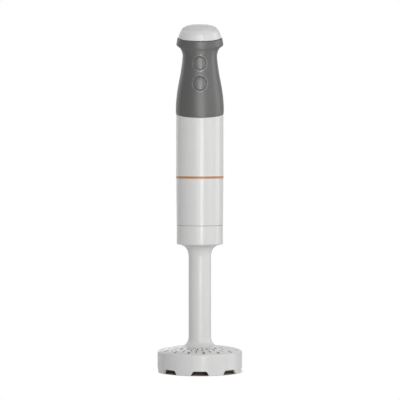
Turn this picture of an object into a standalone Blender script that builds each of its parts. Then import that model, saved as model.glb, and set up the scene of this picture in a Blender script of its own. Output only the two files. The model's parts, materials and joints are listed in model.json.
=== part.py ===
"""An immersion blender with its masher attachment, standing on the masher's rim.

Sizes are in millimetres and are scaled to metres where a mesh is made. The frame has +Z up along the blender's
axis, its origin on that axis in the plane of the rim's bottom edge, and the buttons facing -Y.
"""

import math

import bmesh
import bpy
from mathutils import Matrix, Vector

MM = 0.001
GAP = 0.3  # between pieces that would touch

# Driving dimensions of the outside.
BODY_RADIUS = 27.2
COLLAR_RADIUS = 26.6
BODY_WALL = 2.0
COLLAR_BOTTOM = 146.1
COLLAR_TOP = 167.9
TRIM_LOW = 222.05
TRIM_HIGH = 223.55
GRIP_SEAM = 296.1  # height of the body's seam with the grip, on the axis
GRIP_SEAM_TILT = math.radians(11)
DIAL_SEAM = 382.7  # height of the grip's seam with the dial, on the axis
DIAL_SEAM_TILT = math.radians(12.8)
DIAL_RADIUS = 24.9
GRIP_WALL = 2.2
SHAFT_RADIUS = 12.9
FOOT_RADIUS = 48.7
FOOT_WALL = 2.5

# The grip from bottom to top: height on the axis, then its radius at the sides, the front and the back.
GRIP_LEVELS = [
    (GRIP_SEAM + 0.5 * GAP, 27.5, 27.6, 27.6),
    (304.0, 27.5, 27.6, 27.6),
    (313.0, 26.9, 27.3, 27.4),
    (322.0, 25.8, 26.7, 26.8),
    (331.0, 24.3, 25.8, 25.9),
    (340.0, 22.5, 24.9, 24.9),
    (349.0, 21.1, 24.1, 23.7),
    (357.0, 20.1, 23.6, 22.9),
    (363.0, 19.8, 23.5, 22.6),
    (367.0, 20.6, 23.7, 23.1),
    (370.5, 22.2, 24.1, 24.6),
    (373.0, 24.9, 24.6, 26.8),
    (374.6, 27.0, 25.0, 28.2),
    (378.0, 26.5, 25.2, 27.6),
    (DIAL_SEAM - 0.5 * GAP, 25.7, 25.3, 25.9),
]
GRIP_STEPS = 14  # faces round each half of the grip

# The screws through the grip's back: height, and radius of the surface there.
GRIP_SCREWS = {"lower": (316.0, 27.2), "upper": (346.0, 24.1)}

# Each button: height, radius across, and distance of the grip's front surface from the axis there.
BUTTONS = {"turbo": (353.0, 7.2, 23.9), "speed": (330.5, 8.1, 25.8)}
BUTTON_TALL = 1.07  # how much taller than wide they are
BUTTON_CLEARANCE = 0.35
BUTTON_BACK, BUTTON_STEM_END = 18.9, 13.8

# The cord's outlet leaves the back of the grip square to the dial's axis.
CORD_HEIGHT = 374.5

# Planetary reduction in the collar.
MODULE = 0.8
SUN_TEETH, PLANET_TEETH, RING_TEETH = 12, 18, 48
PLANETS = 3
PRESSURE_ANGLE = math.radians(25)
ADDENDUM, DEDENDUM = 0.75, 1.0
BACKLASH = 0.16
ORBIT_RADIUS = MODULE * (SUN_TEETH + PLANET_TEETH) / 2
GEAR_LOW, GEAR_HIGH = 149.8, 155.2
PLANET_ANGLES = [math.radians(90 + 360 * i / PLANETS) for i in range(PLANETS)]
PIN_RADIUS = 1.5

# The masher's perforated screen: (first angle in degrees, inner radius, outer radius, slot width).
SLOTS_ROUND = 16
SLOT_ROWS = [
    (5.625, 40.2, 46.4, 2.6),
    (-5.625, 34.8, 42.6, 2.2),
    (5.625, 29.0, 36.2, 2.3),
    (-5.625, 24.0, 31.0, 2.2),
    (5.625, 21.4, 25.4, 2.0),
]
NOTCHES = 8
NOTCH_HEIGHT, NOTCH_HALF_BOTTOM, NOTCH_HALF_TOP = 5.0, 10.2, 7.9

# The paddle under the screen: heights of its hub, and of the middle of its blades.
PADDLE_LOW, PADDLE_HIGH = 6.0, 13.6
PADDLE_BLADES = 4
BLADE_HEIGHT, BLADE_THICKNESS = 11.3, 2.6
BLADE_ROOT, BLADE_TIP = 8.0, 43.4  # radii of its ends
BLADE_PITCH = math.radians(15)

DRIVE_SHAFT_RADIUS = 3.0

# Motor, from the drive end up.
MOTOR_SHAFT_RADIUS = 2.5
BEARING_RADIUS = 8.0
LOWER_BRACKET, UPPER_BRACKET = 175.0, 261.0  # heights of the brackets' lower faces
FIELD_LOW, FIELD_HIGH = 203.0, 239.0
FIELD_RADIUS, ARMATURE_RADIUS = 24.4, 12.0
COIL_DISTANCE = 16.8
COMMUTATOR_LOW, COMMUTATOR_HIGH, COMMUTATOR_RADIUS = 246.0, 257.0, 8.0
ARMATURE_SLOTS = 10

SHELL_STEPS = 44
INNER_STEPS = 24
SMALL_STEPS = 14


def clear_scene():
    for obj in list(bpy.data.objects):
        bpy.data.objects.remove(obj, do_unlink=True)


def collection(name):
    made = bpy.data.collections.new(name)
    bpy.context.scene.collection.children.link(made)
    return made


def material(name, colour, roughness, metallic=0.0):
    made = bpy.data.materials.new(name)
    made.use_nodes = True
    shader = made.node_tree.nodes["Principled BSDF"]
    shader.inputs["Base Color"].default_value = (*colour, 1.0)
    shader.inputs["Roughness"].default_value = roughness
    shader.inputs["Metallic"].default_value = metallic
    return made


clear_scene()
PARTS = collection("immersion_blender")
CUTTERS = collection("cutters")
WHITE = material("white_plastic", (0.70, 0.70, 0.69), 0.38)
GREY = material("grey_soft_touch", (0.155, 0.155, 0.152), 0.55)
ORANGE = material("orange_trim", (0.62, 0.20, 0.035), 0.4)
PADDLE_GREY = material("paddle_plastic", (0.06, 0.052, 0.05), 0.5)
NYLON = material("gear_nylon", (0.72, 0.70, 0.62), 0.5)
INNER_PLASTIC = material("inner_plastic", (0.08, 0.08, 0.085), 0.55)
STEEL = material("steel", (0.62, 0.62, 0.63), 0.3, 1.0)
LAMINATION = material("lamination", (0.35, 0.36, 0.38), 0.45, 1.0)
COPPER = material("copper", (0.72, 0.33, 0.16), 0.35, 1.0)
CARBON = material("carbon", (0.03, 0.03, 0.032), 0.7)
RUBBER = material("rubber", (0.03, 0.03, 0.03), 0.8)
BRONZE = material("bronze", (0.55, 0.38, 0.18), 0.4, 1.0)
BOARD = material("board", (0.03, 0.18, 0.07), 0.5)


# ---------------------------------------------------------------- modelling helpers


def add(name, mesh, finish, matrix=None):
    """The mesh as a named part, or as a hidden helper where it has no finish."""
    obj = bpy.data.objects.new(name, mesh)
    obj.matrix_world = matrix or Matrix.Identity(4)
    if finish is None:
        CUTTERS.objects.link(obj)
        obj.hide_render = True
        obj.display_type = "WIRE"
    else:
        PARTS.objects.link(obj)
        mesh.materials.append(finish)
    return obj


def at(x=0.0, y=0.0, z=0.0, tilt=0.0, turn=0.0):
    """A placing matrix: tilt about X, then turn about Z, then move, in millimetres and radians."""
    place = Matrix.Translation(Vector((x, y, z)) * MM)
    return place @ Matrix.Rotation(turn, 4, "Z") @ Matrix.Rotation(tilt, 4, "X")


def downwards(profile):
    """The profile in the order that a Screw modifier needs: down its outer side."""
    ends = zip(profile, profile[1:] + profile[:1])
    area = sum(a[0] * b[1] - b[0] * a[1] for a, b in ends)
    return profile if area < 0 else profile[::-1]


def turned(name, finish, profile, steps=SHELL_STEPS, matrix=None):
    """A solid turned about Z from (radius, height) points. A profile that ends on the axis closes there."""
    points = downwards(profile)
    edges = [(i, i + 1) for i in range(len(points) - 1)]
    if points[0][0] > 0 or points[-1][0] > 0:
        edges.append((len(points) - 1, 0))
    mesh = bpy.data.meshes.new(name)
    mesh.from_pydata([(r * MM, 0.0, z * MM) for r, z in points], edges, [])
    obj = add(name, mesh, finish, matrix)
    screw = obj.modifiers.new("Turn", "SCREW")
    screw.steps = screw.render_steps = steps
    screw.use_merge_vertices = True
    screw.merge_threshold = 0.00001
    return obj


def block_mesh(name, boxes):
    """One mesh of boxes, each given as (size, placing matrix)."""
    shape = bmesh.new()
    for size, matrix in boxes:
        scale = Matrix.Diagonal((*(Vector(size) * MM), 1.0))
        bmesh.ops.create_cube(shape, size=1.0, matrix=matrix @ scale)
    mesh = bpy.data.meshes.new(name)
    shape.to_mesh(mesh)
    shape.free()
    return mesh


def block(name, finish, size, matrix):
    return add(name, block_mesh(name, [(size, matrix)]), finish)


def rod(name, finish, radius, low, high, matrix=None, steps=SMALL_STEPS):
    """A cylinder along Z of its placing matrix."""
    shape = bmesh.new()
    centre = Matrix.Translation((0, 0, (low + high) / 2 * MM))
    bmesh.ops.create_cone(
        shape, cap_ends=True, segments=steps, radius1=radius * MM, radius2=radius * MM,
        depth=(high - low) * MM, matrix=centre,
    )
    mesh = bpy.data.meshes.new(name)
    shape.to_mesh(mesh)
    shape.free()
    return add(name, mesh, finish, matrix)


def plate(name, finish, outlines, low, high, matrix=None):
    """A flat piece from low to high, cut to its outlines: the first is its edge, and the others are holes."""
    curve = bpy.data.curves.new(name, "CURVE")
    curve.dimensions = "2D"
    curve.fill_mode = "BOTH"
    curve.extrude = (high - low) / 2 * MM
    for outline in outlines:
        spline = curve.splines.new("POLY")
        spline.points.add(len(outline) - 1)
        spline.use_cyclic_u = True
        for point, (x, y) in zip(spline.points, outline):
            point.co = (x * MM, y * MM, 0.0, 1.0)
    drawn = bpy.data.objects.new(name + "_outline", curve)
    CUTTERS.objects.link(drawn)
    drawn.location.z = (low + high) / 2 * MM
    graph = bpy.context.evaluated_depsgraph_get()
    mesh = bpy.data.meshes.new_from_object(drawn.evaluated_get(graph))
    mesh.transform(Matrix.Translation(drawn.location))
    bpy.data.objects.remove(drawn)
    shape = bmesh.new()
    shape.from_mesh(mesh)
    bmesh.ops.remove_doubles(shape, verts=shape.verts, dist=1e-6)
    bmesh.ops.recalc_face_normals(shape, faces=shape.faces)
    shape.to_mesh(mesh)
    shape.free()
    return add(name, mesh, finish, matrix)


def circle(radius, steps=SMALL_STEPS, x=0.0, y=0.0):
    angles = [2 * math.pi * i / steps for i in range(steps)]
    return [(x + radius * math.cos(a), y + radius * math.sin(a)) for a in angles]


def combine(obj, operation, *others):
    for other in others:
        step = obj.modifiers.new(other.name, "BOOLEAN")
        step.operation = operation
        step.object = other
    return obj


def cut(obj, *others):
    return combine(obj, "DIFFERENCE", *others)


def join(obj, *others):
    return combine(obj, "UNION", *others)


def round_places(count, radius, height, first=0.0):
    """Placing matrices spaced evenly round the axis, with +X outwards."""
    turns = [first + 2 * math.pi * i / count for i in range(count)]
    return [Matrix.Rotation(t, 4, "Z") @ at(radius, 0.0, height) for t in turns]


def ring_of_blocks(name, size, count, radius, height, first=0.0):
    places = round_places(count, radius, height, first)
    return add(name, block_mesh(name, [(size, place) for place in places]), None)


# ---------------------------------------------------------------- the masher's foot


def masher_shaft():
    """The long tube with its flare into the screen, its hub below, and three lugs that lock into the collar."""
    outer = [
        (22.9, 149.2), (22.9, 145.8), (20.8, 145.0), (18.2, 143.8), (15.9, 141.7), (14.4, 139.2),
        (13.4, 136.2), (SHAFT_RADIUS, 132.5), (SHAFT_RADIUS, 40.0), (13.2, 37.6), (13.9, 35.2),
        (15.0, 33.0), (16.9, 31.0), (20.2, 29.1),
    ]
    inner = [
        (20.2, 26.7), (13.0, 26.7), (9.0, 25.2), (9.0, 14.0), (4.7, 14.0), (4.7, 30.0), (11.2, 37.0),
        (11.2, 134.0), (13.3, 139.5), (17.3, 143.6), (20.6, 146.4), (20.6, 149.2),
    ]
    shaft = turned("masher_shaft", WHITE, outer + inner, 28)
    lugs = ring_of_blocks("shaft_lugs", (2.4, 9.0, 1.3), 3, 22.8, 148.55)
    return join(shaft, lugs)


def masher_foot():
    """The slotted dome and its wall, with notches in the bottom edge that let the mash out."""
    inner = FOOT_RADIUS - FOOT_WALL
    outside = [(20.5, 29.1), (38.0, 26.7), (46.0, 24.6), (48.0, 23.6), (FOOT_RADIUS, 22.4), (FOOT_RADIUS, 0)]
    inside = [(inner, 0), (inner, 20.8), (38.0, 24.3), (20.5, 26.7)]
    foot = turned("masher_foot", WHITE, outside + inside, 48)
    boxes = []
    for first, low, high, width in SLOT_ROWS:
        from_front = math.radians(first - 90)
        for place in round_places(SLOTS_ROUND, (low + high) / 2, 26.0, from_front):
            boxes.append(((high - low, width, 14.0), place))
    cut(foot, add("screen_slots", block_mesh("screen_slots", boxes), None))
    below = NOTCH_HEIGHT + 1.0
    flare = (NOTCH_HALF_BOTTOM - NOTCH_HALF_TOP) / NOTCH_HEIGHT
    outline = [
        (-NOTCH_HALF_BOTTOM - flare, -1.0), (NOTCH_HALF_BOTTOM + flare, -1.0),
        (NOTCH_HALF_TOP + 0.5, NOTCH_HEIGHT - 1.1), (NOTCH_HALF_TOP - 1.2, NOTCH_HEIGHT),
        (-NOTCH_HALF_TOP + 1.2, NOTCH_HEIGHT), (-NOTCH_HALF_TOP - 0.5, NOTCH_HEIGHT - 1.1),
    ]
    for i in range(NOTCHES):
        turn = 2 * math.pi * i / NOTCHES
        upright = Matrix.Rotation(turn, 4, "Z") @ Matrix.Rotation(math.pi / 2, 4, "X")
        cut(foot, plate(f"notch_{i}", None, [outline], FOOT_RADIUS - below, FOOT_RADIUS + below, upright))
    return foot


def foot_inserts():
    turned("lower_bush", BRONZE, [(3.15, 16.5), (4.4, 16.5), (4.4, 29.0), (3.15, 29.0)], SMALL_STEPS)
    turned("shaft_seal", RUBBER, [(3.15, 14.2), (4.4, 14.2), (4.4, 16.2), (3.15, 16.2)], SMALL_STEPS)


def masher_paddle():
    """A hub that clips on the drive shaft's end, with four pitched blades that widen outwards."""
    bore, floor = DRIVE_SHAFT_RADIUS + 0.35, PADDLE_LOW + 2.6
    hub = turned(
        "masher_paddle", PADDLE_GREY,
        [
            (0, PADDLE_LOW), (8.5, PADDLE_LOW), (10.5, PADDLE_LOW + 1.6), (10.5, PADDLE_HIGH),
            (bore, PADDLE_HIGH), (bore, floor), (0, floor),
        ],
        INNER_STEPS,
    )
    outline = [
        (BLADE_ROOT, -3.5), (36.0, -10.5), (42.0, -9.5), (BLADE_TIP, -4.0), (42.6, 6.0), (BLADE_ROOT, 3.5),
    ]
    pitch = Matrix.Rotation(BLADE_PITCH, 4, "X")
    for i, place in enumerate(round_places(PADDLE_BLADES, 0.0, BLADE_HEIGHT, math.radians(20))):
        half = BLADE_THICKNESS / 2
        join(hub, plate(f"paddle_blade_{i}", None, [outline], -half, half, place @ pitch))
    return hub


# ---------------------------------------------------------------- the collar and its gears


def gear_outline(teeth, thickness_change, outside, inside, phase):
    """An involute outline of teeth centred on phase, from the inside radius to the outside one."""
    pitch_radius = MODULE * teeth / 2
    base = pitch_radius * math.cos(PRESSURE_ANGLE)
    half = (math.pi * MODULE / 2 + thickness_change) / (2 * pitch_radius)

    def half_angle(radius):
        slope = math.acos(base / max(radius, base))
        return half + (math.tan(PRESSURE_ANGLE) - PRESSURE_ANGLE) - (math.tan(slope) - slope)

    flank = [(r, half_angle(r)) for r in (inside, pitch_radius, outside)]
    points = []
    for i in range(teeth):
        middle = phase + 2 * math.pi * i / teeth
        sides = [(r, middle - a) for r, a in flank] + [(r, middle + a) for r, a in reversed(flank)]
        points += [(r * math.cos(a), r * math.sin(a)) for r, a in sides]
    return points


def external_gear(teeth, phase):
    pitch_radius = MODULE * teeth / 2
    return gear_outline(teeth, -BACKLASH / 2, pitch_radius + ADDENDUM, pitch_radius - DEDENDUM, phase)


def ring_gear():
    """The fixed internal gear. Its spaces are an external gear's outline, so a tooth faces each planet."""
    pitch_radius = MODULE * RING_TEETH / 2
    phase = PLANET_ANGLES[0] + math.pi / RING_TEETH
    spaces = gear_outline(RING_TEETH, BACKLASH / 2, pitch_radius + DEDENDUM, pitch_radius - ADDENDUM, phase)
    edge = circle(24.2, 36)
    return plate("ring_gear", NYLON, [edge, spaces], GEAR_LOW - 0.2, GEAR_HIGH + 0.2)


def input_pinion():
    """The sun gear on a short journal, with a hexagonal stub that the motor's drive socket turns."""
    teeth = external_gear(SUN_TEETH, PLANET_ANGLES[0])
    sun = plate("input_pinion", STEEL, [teeth], GEAR_LOW - 0.4, GEAR_HIGH + 0.4)
    journal = rod("pinion_journal", None, 4.6, GEAR_HIGH + 0.2, 159.0, steps=INNER_STEPS)
    stub = rod("pinion_stub", None, 4.62, 157.0, 168.2, at(turn=math.pi / 6), 6)
    return join(sun, journal, stub)


def planet_gears():
    for i, angle in enumerate(PLANET_ANGLES):
        phase = angle + math.pi + math.pi / PLANET_TEETH
        outlines = [external_gear(PLANET_TEETH, phase), circle(PIN_RADIUS + 0.12, SMALL_STEPS)]
        place = at(ORBIT_RADIUS * math.cos(angle), ORBIT_RADIUS * math.sin(angle))
        plate(f"planet_gear_{i + 1}", NYLON, outlines, GEAR_LOW, GEAR_HIGH, place)


def planet_carrier():
    """A disc with three planet pins above it and a hub below it that holds the drive shaft."""
    carrier = turned(
        "planet_carrier", STEEL,
        [
            (0, 148.4), (16.6, 148.4), (16.6, 146.6), (6.5, 146.2), (6.5, 138.5), (3.2, 138.5), (3.2, 145.4),
            (0, 145.4),
        ],
        INNER_STEPS,
    )
    for i, angle in enumerate(PLANET_ANGLES):
        place = at(ORBIT_RADIUS * math.cos(angle), ORBIT_RADIUS * math.sin(angle))
        join(carrier, rod(f"planet_pin_{i}", None, PIN_RADIUS, 147.0, 155.0, place, 12))
    return carrier


def collar_shell():
    """The collar's sleeve. A ledge inside its bottom edge holds the shaft's lugs, and keys guide the nose."""
    shell = turned("collar_shell", WHITE, [
        (COLLAR_RADIUS - 0.3, COLLAR_TOP), (COLLAR_RADIUS, COLLAR_TOP - 0.4), (COLLAR_RADIUS, 147.2),
        (COLLAR_RADIUS - 0.4, 146.4), (COLLAR_RADIUS - 1.2, COLLAR_BOTTOM), (23.3, COLLAR_BOTTOM),
        (23.3, 147.6), (24.6, 147.6), (24.6, COLLAR_TOP),
    ])
    keys = ring_of_blocks("collar_keys", (2.6, 3.4, 3.4), 3, 23.7, 160.9, math.radians(90))
    entries = ring_of_blocks("collar_entries", (4.0, 10.5, 2.6), 3, 22.5, 146.6, math.radians(30))
    return cut(join(shell, keys), entries)


def gearbox_cover():
    """The plate over the gears, with a bore for the pinion's bush and holes for its three screws."""
    cover = plate("gearbox_cover", NYLON, [circle(24.2, 36), circle(6.8, INNER_STEPS)], 155.8, 157.6)
    turned("pinion_bush", BRONZE, [(4.9, 155.9), (6.55, 155.9), (6.55, 158.1), (4.9, 158.1)], INNER_STEPS)
    ring = bpy.data.objects["ring_gear"]
    for i, place in enumerate(round_places(3, 22.3, 0.0, math.radians(30))):
        hole = rod(f"gearbox_screw_hole_{i}", None, 0.95, 152.0, 160.0, place, 10)
        cut(cover, hole)
        cut(ring, hole)
        head = [(0, 158.3), (1.6, 158.3), (1.6, 157.8), (0.65, 157.8), (0.65, 152.6), (0, 152.6)]
        turned(f"gearbox_screw_{i + 1}", STEEL, head, 10, place)
    return cover


# ---------------------------------------------------------------- the motor and its drive


def drive_line():
    low, high = 170.4, 271.0
    turned("motor_shaft", STEEL, [(0, high), (MOTOR_SHAFT_RADIUS, high), (MOTOR_SHAFT_RADIUS, low), (0, low)], 12)
    socket = turned(
        "drive_socket", STEEL,
        [(0, 169.2), (6.9, 169.2), (6.9, 174.0), (2.65, 174.0), (2.65, 170.1), (0, 170.1)], SMALL_STEPS,
    )
    # The socket's mouth is a ring with a hexagonal hole, a little larger than the pinion's stub.
    mouth = plate("socket_mouth", None, [circle(7.2, SMALL_STEPS), circle(4.62 + 0.4, 6)], 160.4, 169.6)
    join(socket, mouth)
    return socket


def slotted_disc(radius, depth, half_slot):
    """The outline of a round core with slots in its edge."""
    points = []
    for i in range(ARMATURE_SLOTS):
        middle = 2 * math.pi * i / ARMATURE_SLOTS
        half_tooth = math.pi / ARMATURE_SLOTS - half_slot / radius
        half_root = math.pi / ARMATURE_SLOTS - half_slot / (radius - depth)
        root = radius - depth
        sides = [(root, -half_root), (radius, -half_tooth), (radius, half_tooth), (root, half_root)]
        points += [(r * math.cos(middle + a), r * math.sin(middle + a)) for r, a in sides]
    return points


def armature():
    bore = circle(MOTOR_SHAFT_RADIUS + 0.15, 12)
    core = [slotted_disc(ARMATURE_RADIUS, 4.0, 0.9), bore]
    plate("armature_core", LAMINATION, core, FIELD_LOW + 2, FIELD_HIGH - 2)
    bars = [slotted_disc(COMMUTATOR_RADIUS, 1.0, 0.25), bore]
    plate("commutator", COPPER, bars, COMMUTATOR_LOW, COMMUTATOR_HIGH)
    for word, low, high in (("lower", 198.5, 204.7), ("upper", 237.3, 244.5)):
        middle = (low + high) / 2
        profile = [(2.7, low), (8.0, low), (11.2, middle), (8.0, high), (2.7, high)]
        turned(f"armature_winding_{word}", COPPER, profile, SMALL_STEPS)


def motor_fan():
    """A back plate and ten radial blades round a hub."""
    profile = [(2.65, 195.0), (5.0, 195.0), (5.0, 188.2), (22.0, 188.2), (22.0, 187.0), (2.65, 187.0)]
    fan = turned("motor_fan", INNER_PLASTIC, profile, INNER_STEPS)
    sweep = Matrix.Rotation(math.radians(18), 4, "Z")
    blades = [((16.5, 1.1, 6.4), place @ sweep) for place in round_places(10, 13.3, 191.0)]
    return join(fan, add("fan_blades", block_mesh("fan_blades", blades), None))


def field():
    """The stationary core with two wound coils, one in front of the armature and one behind it."""
    core = plate(
        "field_core", LAMINATION, [circle(FIELD_RADIUS, 36), circle(ARMATURE_RADIUS + 0.5, INNER_STEPS)],
        FIELD_LOW, FIELD_HIGH,
    )
    middle, length = (FIELD_LOW + FIELD_HIGH) / 2, FIELD_HIGH - FIELD_LOW
    distances = {"field_coil_front": -COIL_DISTANCE, "field_coil_rear": COIL_DISTANCE}
    windows = [
        ((4.7, 3.6, length + 4), at(side * 9.45, y, middle)) for side in (-1, 1) for y in distances.values()
    ]
    cut(core, add("field_windows", block_mesh("field_windows", windows), None))
    for name, y in distances.items():
        coil = block(name, COPPER, (23.0, 3.0, length + 11), at(0, y, middle))
        cut(coil, block(name + "_window", None, (14.8, 6.0, length + 1.2), at(0, y, middle)))


def motor_brackets():
    """The two end brackets with their bearings. Windows in the discs let the cooling air through."""
    for word, low in (("lower", LOWER_BRACKET), ("upper", UPPER_BRACKET)):
        profile = [
            (24.7, low), (24.7, low + 2.4), (10.4, low + 2.4), (10.4, low + 8.2), (8.3, low + 8.2),
            (8.3, low + 2.2), (4.0, low + 2.2), (4.0, low),
        ]
        bracket = turned(f"{word}_motor_bracket", INNER_PLASTIC, profile, INNER_STEPS)
        cut(bracket, ring_of_blocks(f"{word}_windows", (7.5, 12.0, 8.0), 4, 17.5, low + 1.2, math.pi / 4))
        ring = [
            (MOTOR_SHAFT_RADIUS + 0.1, low + 2.6), (BEARING_RADIUS, low + 2.6), (BEARING_RADIUS, low + 7.6),
            (MOTOR_SHAFT_RADIUS + 0.1, low + 7.6),
        ]
        turned(f"{word}_bearing", STEEL, ring, INNER_STEPS)


def brushes():
    """Carbon brushes each side of the commutator, in box holders that stand on the field's end."""
    height = (COMMUTATOR_LOW + COMMUTATOR_HIGH) / 2
    for side, word in ((-1, "left"), (1, "right")):
        holder = block(f"brush_holder_{word}", BRONZE, (12.0, 7.6, 8.6), at(side * 17.2, 0, height))
        cut(holder, block(f"brush_slot_{word}", None, (16.0, 5.6, 6.6), at(side * 17.2, 0, height)))
        block(f"carbon_brush_{word}", CARBON, (11.0, 5.0, 6.0), at(side * 14.0, 0, height))


# ---------------------------------------------------------------- the handle


def slot_stack(name, width, low, count, pitch=3.4, height=1.7):
    """Cutters for a row of level vents in the back of the body."""
    boxes = [((width, 12.0, height), at(0, BODY_RADIUS, low + i * pitch)) for i in range(count)]
    return add(name, block_mesh(name, boxes), None)


def lower_housing():
    """The body's lower sleeve, with a ledge inside for the coupling nose and outlet vents at the back."""
    bottom, top = COLLAR_TOP + GAP, TRIM_LOW - GAP
    shell = turned("lower_housing", WHITE, [
        (BODY_RADIUS - 0.1, top), (COLLAR_RADIUS + 0.1, bottom + 0.5), (COLLAR_RADIUS - 0.2, bottom),
        (23.4, bottom), (23.4, bottom + 1.4), (25.1, bottom + 1.4), (25.1, top),
    ])
    return cut(shell, slot_stack("outlet_vents", 20.0, 184.0, 5))


def trim_ring():
    edge = BODY_RADIUS + 0.15
    return turned("trim_ring", ORANGE, [
        (edge, TRIM_LOW + 0.2), (edge, TRIM_HIGH - 0.2), (edge - 0.2, TRIM_HIGH), (25.4, TRIM_HIGH),
        (25.4, TRIM_LOW), (edge - 0.2, TRIM_LOW),
    ])


def motor_housing():
    """The body's upper sleeve. A plane tilted down at the front cuts its top, where the grip begins."""
    low, high = TRIM_HIGH + GAP, GRIP_SEAM + 10
    inner = BODY_RADIUS - BODY_WALL
    profile = [(BODY_RADIUS, high), (BODY_RADIUS, low), (inner, low), (inner, high)]
    shell = turned("motor_housing", WHITE, profile)
    above = at(0, 0, GRIP_SEAM - 0.5 * GAP, tilt=GRIP_SEAM_TILT) @ at(0, 0, 20)
    cut(shell, block("grip_seam", None, (80, 80, 40), above))
    return cut(shell, slot_stack("inlet_vents", 20.0, 272.0, 5))


def coupling_nose():
    """The nose that the collar slides over, with a seal groove and three keyways."""
    nose = turned("coupling_nose", INNER_PLASTIC, [
        (24.8, 172.2), (24.8, 169.9), (22.9, 169.9), (22.9, 165.7), (22.1, 165.7), (22.1, 163.5),
        (22.9, 163.5), (22.9, 159.2), (22.3, 158.6), (8.2, 158.6), (8.2, 160.6), (19.8, 160.6),
        (19.8, 172.2),
    ], 36)
    keyways = ring_of_blocks("nose_keyways", (4.0, 4.2, 5.2), 3, 23.4, 160.4, math.radians(90))
    cut(nose, keyways)
    profile = [(x, 164.6 + y) for x, y in circle(0.85, 8, 23.4)]
    turned("nose_seal", RUBBER, profile, INNER_STEPS)
    return nose


def grip_radius(level, angle):
    """The grip's radius at an angle from the front. The sides pinch in more than the front and back do."""
    _, side, front, back = level
    facing = front if math.cos(angle) > 0 else back
    share = math.sin(angle) ** 4
    return facing * (1 - share) + side * share


def grip_point(level, angle, inset):
    """A point of the grip. Its levels tilt with the seams, so that they are lower at the front."""
    rise = (level[0] - GRIP_SEAM) / (DIAL_SEAM - GRIP_SEAM)
    tilt = math.tan(GRIP_SEAM_TILT) * (1 - rise) + math.tan(DIAL_SEAM_TILT) * rise
    radius = grip_radius(level, angle) - inset
    x, y = radius * math.sin(angle), -radius * math.cos(angle)
    return Vector((x, y, level[0] + tilt * y)) * MM


def grip_half(name, facing):
    """Half of the grip's shell, lofted through its levels, with the parting line at the sides."""
    parting = math.radians(0.35)
    reach = math.pi / 2 - parting
    angles = [facing - reach + 2 * reach * i / GRIP_STEPS for i in range(GRIP_STEPS + 1)]
    shape = bmesh.new()
    loops = []
    for level in GRIP_LEVELS:
        outside = [shape.verts.new(grip_point(level, a, 0)) for a in angles]
        inside = [shape.verts.new(grip_point(level, a, GRIP_WALL)) for a in angles]
        loops.append(outside + inside[::-1])
    count = len(loops[0])
    for low, high in zip(loops, loops[1:]):
        for i in range(count):
            j = (i + 1) % count
            shape.faces.new((low[i], low[j], high[j], high[i]))
    for loop in (loops[0], loops[-1]):
        for i in range(GRIP_STEPS):
            shape.faces.new((loop[i], loop[i + 1], loop[count - 2 - i], loop[count - 1 - i]))
    bmesh.ops.recalc_face_normals(shape, faces=shape.faces)
    mesh = bpy.data.meshes.new(name)
    shape.to_mesh(mesh)
    shape.free()
    return add(name, mesh, GREY)


def facing_front(height, tall=1.0):
    """A placing matrix whose Z points out of the front of the grip."""
    return at(0, 0, height) @ Matrix.Diagonal((1, 1, tall, 1)) @ Matrix.Rotation(math.pi / 2, 4, "X")


def cord_outlet(rear):
    """A boss on the grip's back, with the rubber gland that the cord would leave by."""
    outwards = at(0, 0, CORD_HEIGHT, tilt=DIAL_SEAM_TILT - math.pi / 2)
    join(rear, rod("cord_boss", None, 6.0, 25.0, 31.5, outwards, 20))
    cut(rear, rod("cord_bore", None, 4.3, 18.0, 40.0, outwards, 20))
    cut(rear, rod("cord_counterbore", None, 5.6, 18.0, 23.5, outwards, 20))
    gland = [
        (3.1, 22.5), (5.2, 22.5), (5.2, 23.2), (4.0, 23.2), (4.0, 31.8), (4.9, 31.8), (4.9, 32.8), (3.1, 32.8),
    ]
    turned("cord_gland", RUBBER, gland, 20, outwards)


def grip():
    """The two halves of the grip, with the holes for the buttons in front and two sunk screws behind."""
    front = grip_half("grip_front", 0.0)
    for name, (height, radius, _) in BUTTONS.items():
        place = facing_front(height, BUTTON_TALL)
        cut(front, rod(f"{name}_hole", None, radius + BUTTON_CLEARANCE, 15, 30, place, INNER_STEPS))
    rear = grip_half("grip_rear", math.pi)
    cord_outlet(rear)
    for name, (height, surface) in GRIP_SCREWS.items():
        place = at(0, 0, height, tilt=-math.pi / 2)
        cut(rear, rod(f"screw_recess_{name}", None, 3.4, surface - 1.2, 35, place, SMALL_STEPS))
        cut(rear, rod(f"screw_hole_{name}", None, 1.8, 10, 35, place, 10))
        head, tip = surface - 0.9, 12.0
        profile = [(0, head + 1.6), (2.9, head + 1.0), (2.9, head), (1.4, head), (1.4, tip), (0, tip)]
        turned(f"grip_screw_{name}", STEEL, profile, 12, place)


def buttons():
    """Two domed push buttons, each with a flange behind the grip's wall and a stem towards its switch."""
    for name, (height, radius, surface) in BUTTONS.items():
        flange = BUTTON_BACK - 1.4
        profile = [
            (0, surface + 0.9), (0.4 * radius, surface + 0.7), (0.7 * radius, surface),
            (0.9 * radius, surface - 1.2), (radius, surface - 2.4), (radius, BUTTON_BACK),
            (radius + 1.3, BUTTON_BACK), (radius + 1.3, flange), (2.5, flange), (2.5, BUTTON_STEM_END),
            (0, BUTTON_STEM_END),
        ]
        turned(f"{name}_button", GREY, profile, INNER_STEPS, facing_front(height, BUTTON_TALL))


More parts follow.
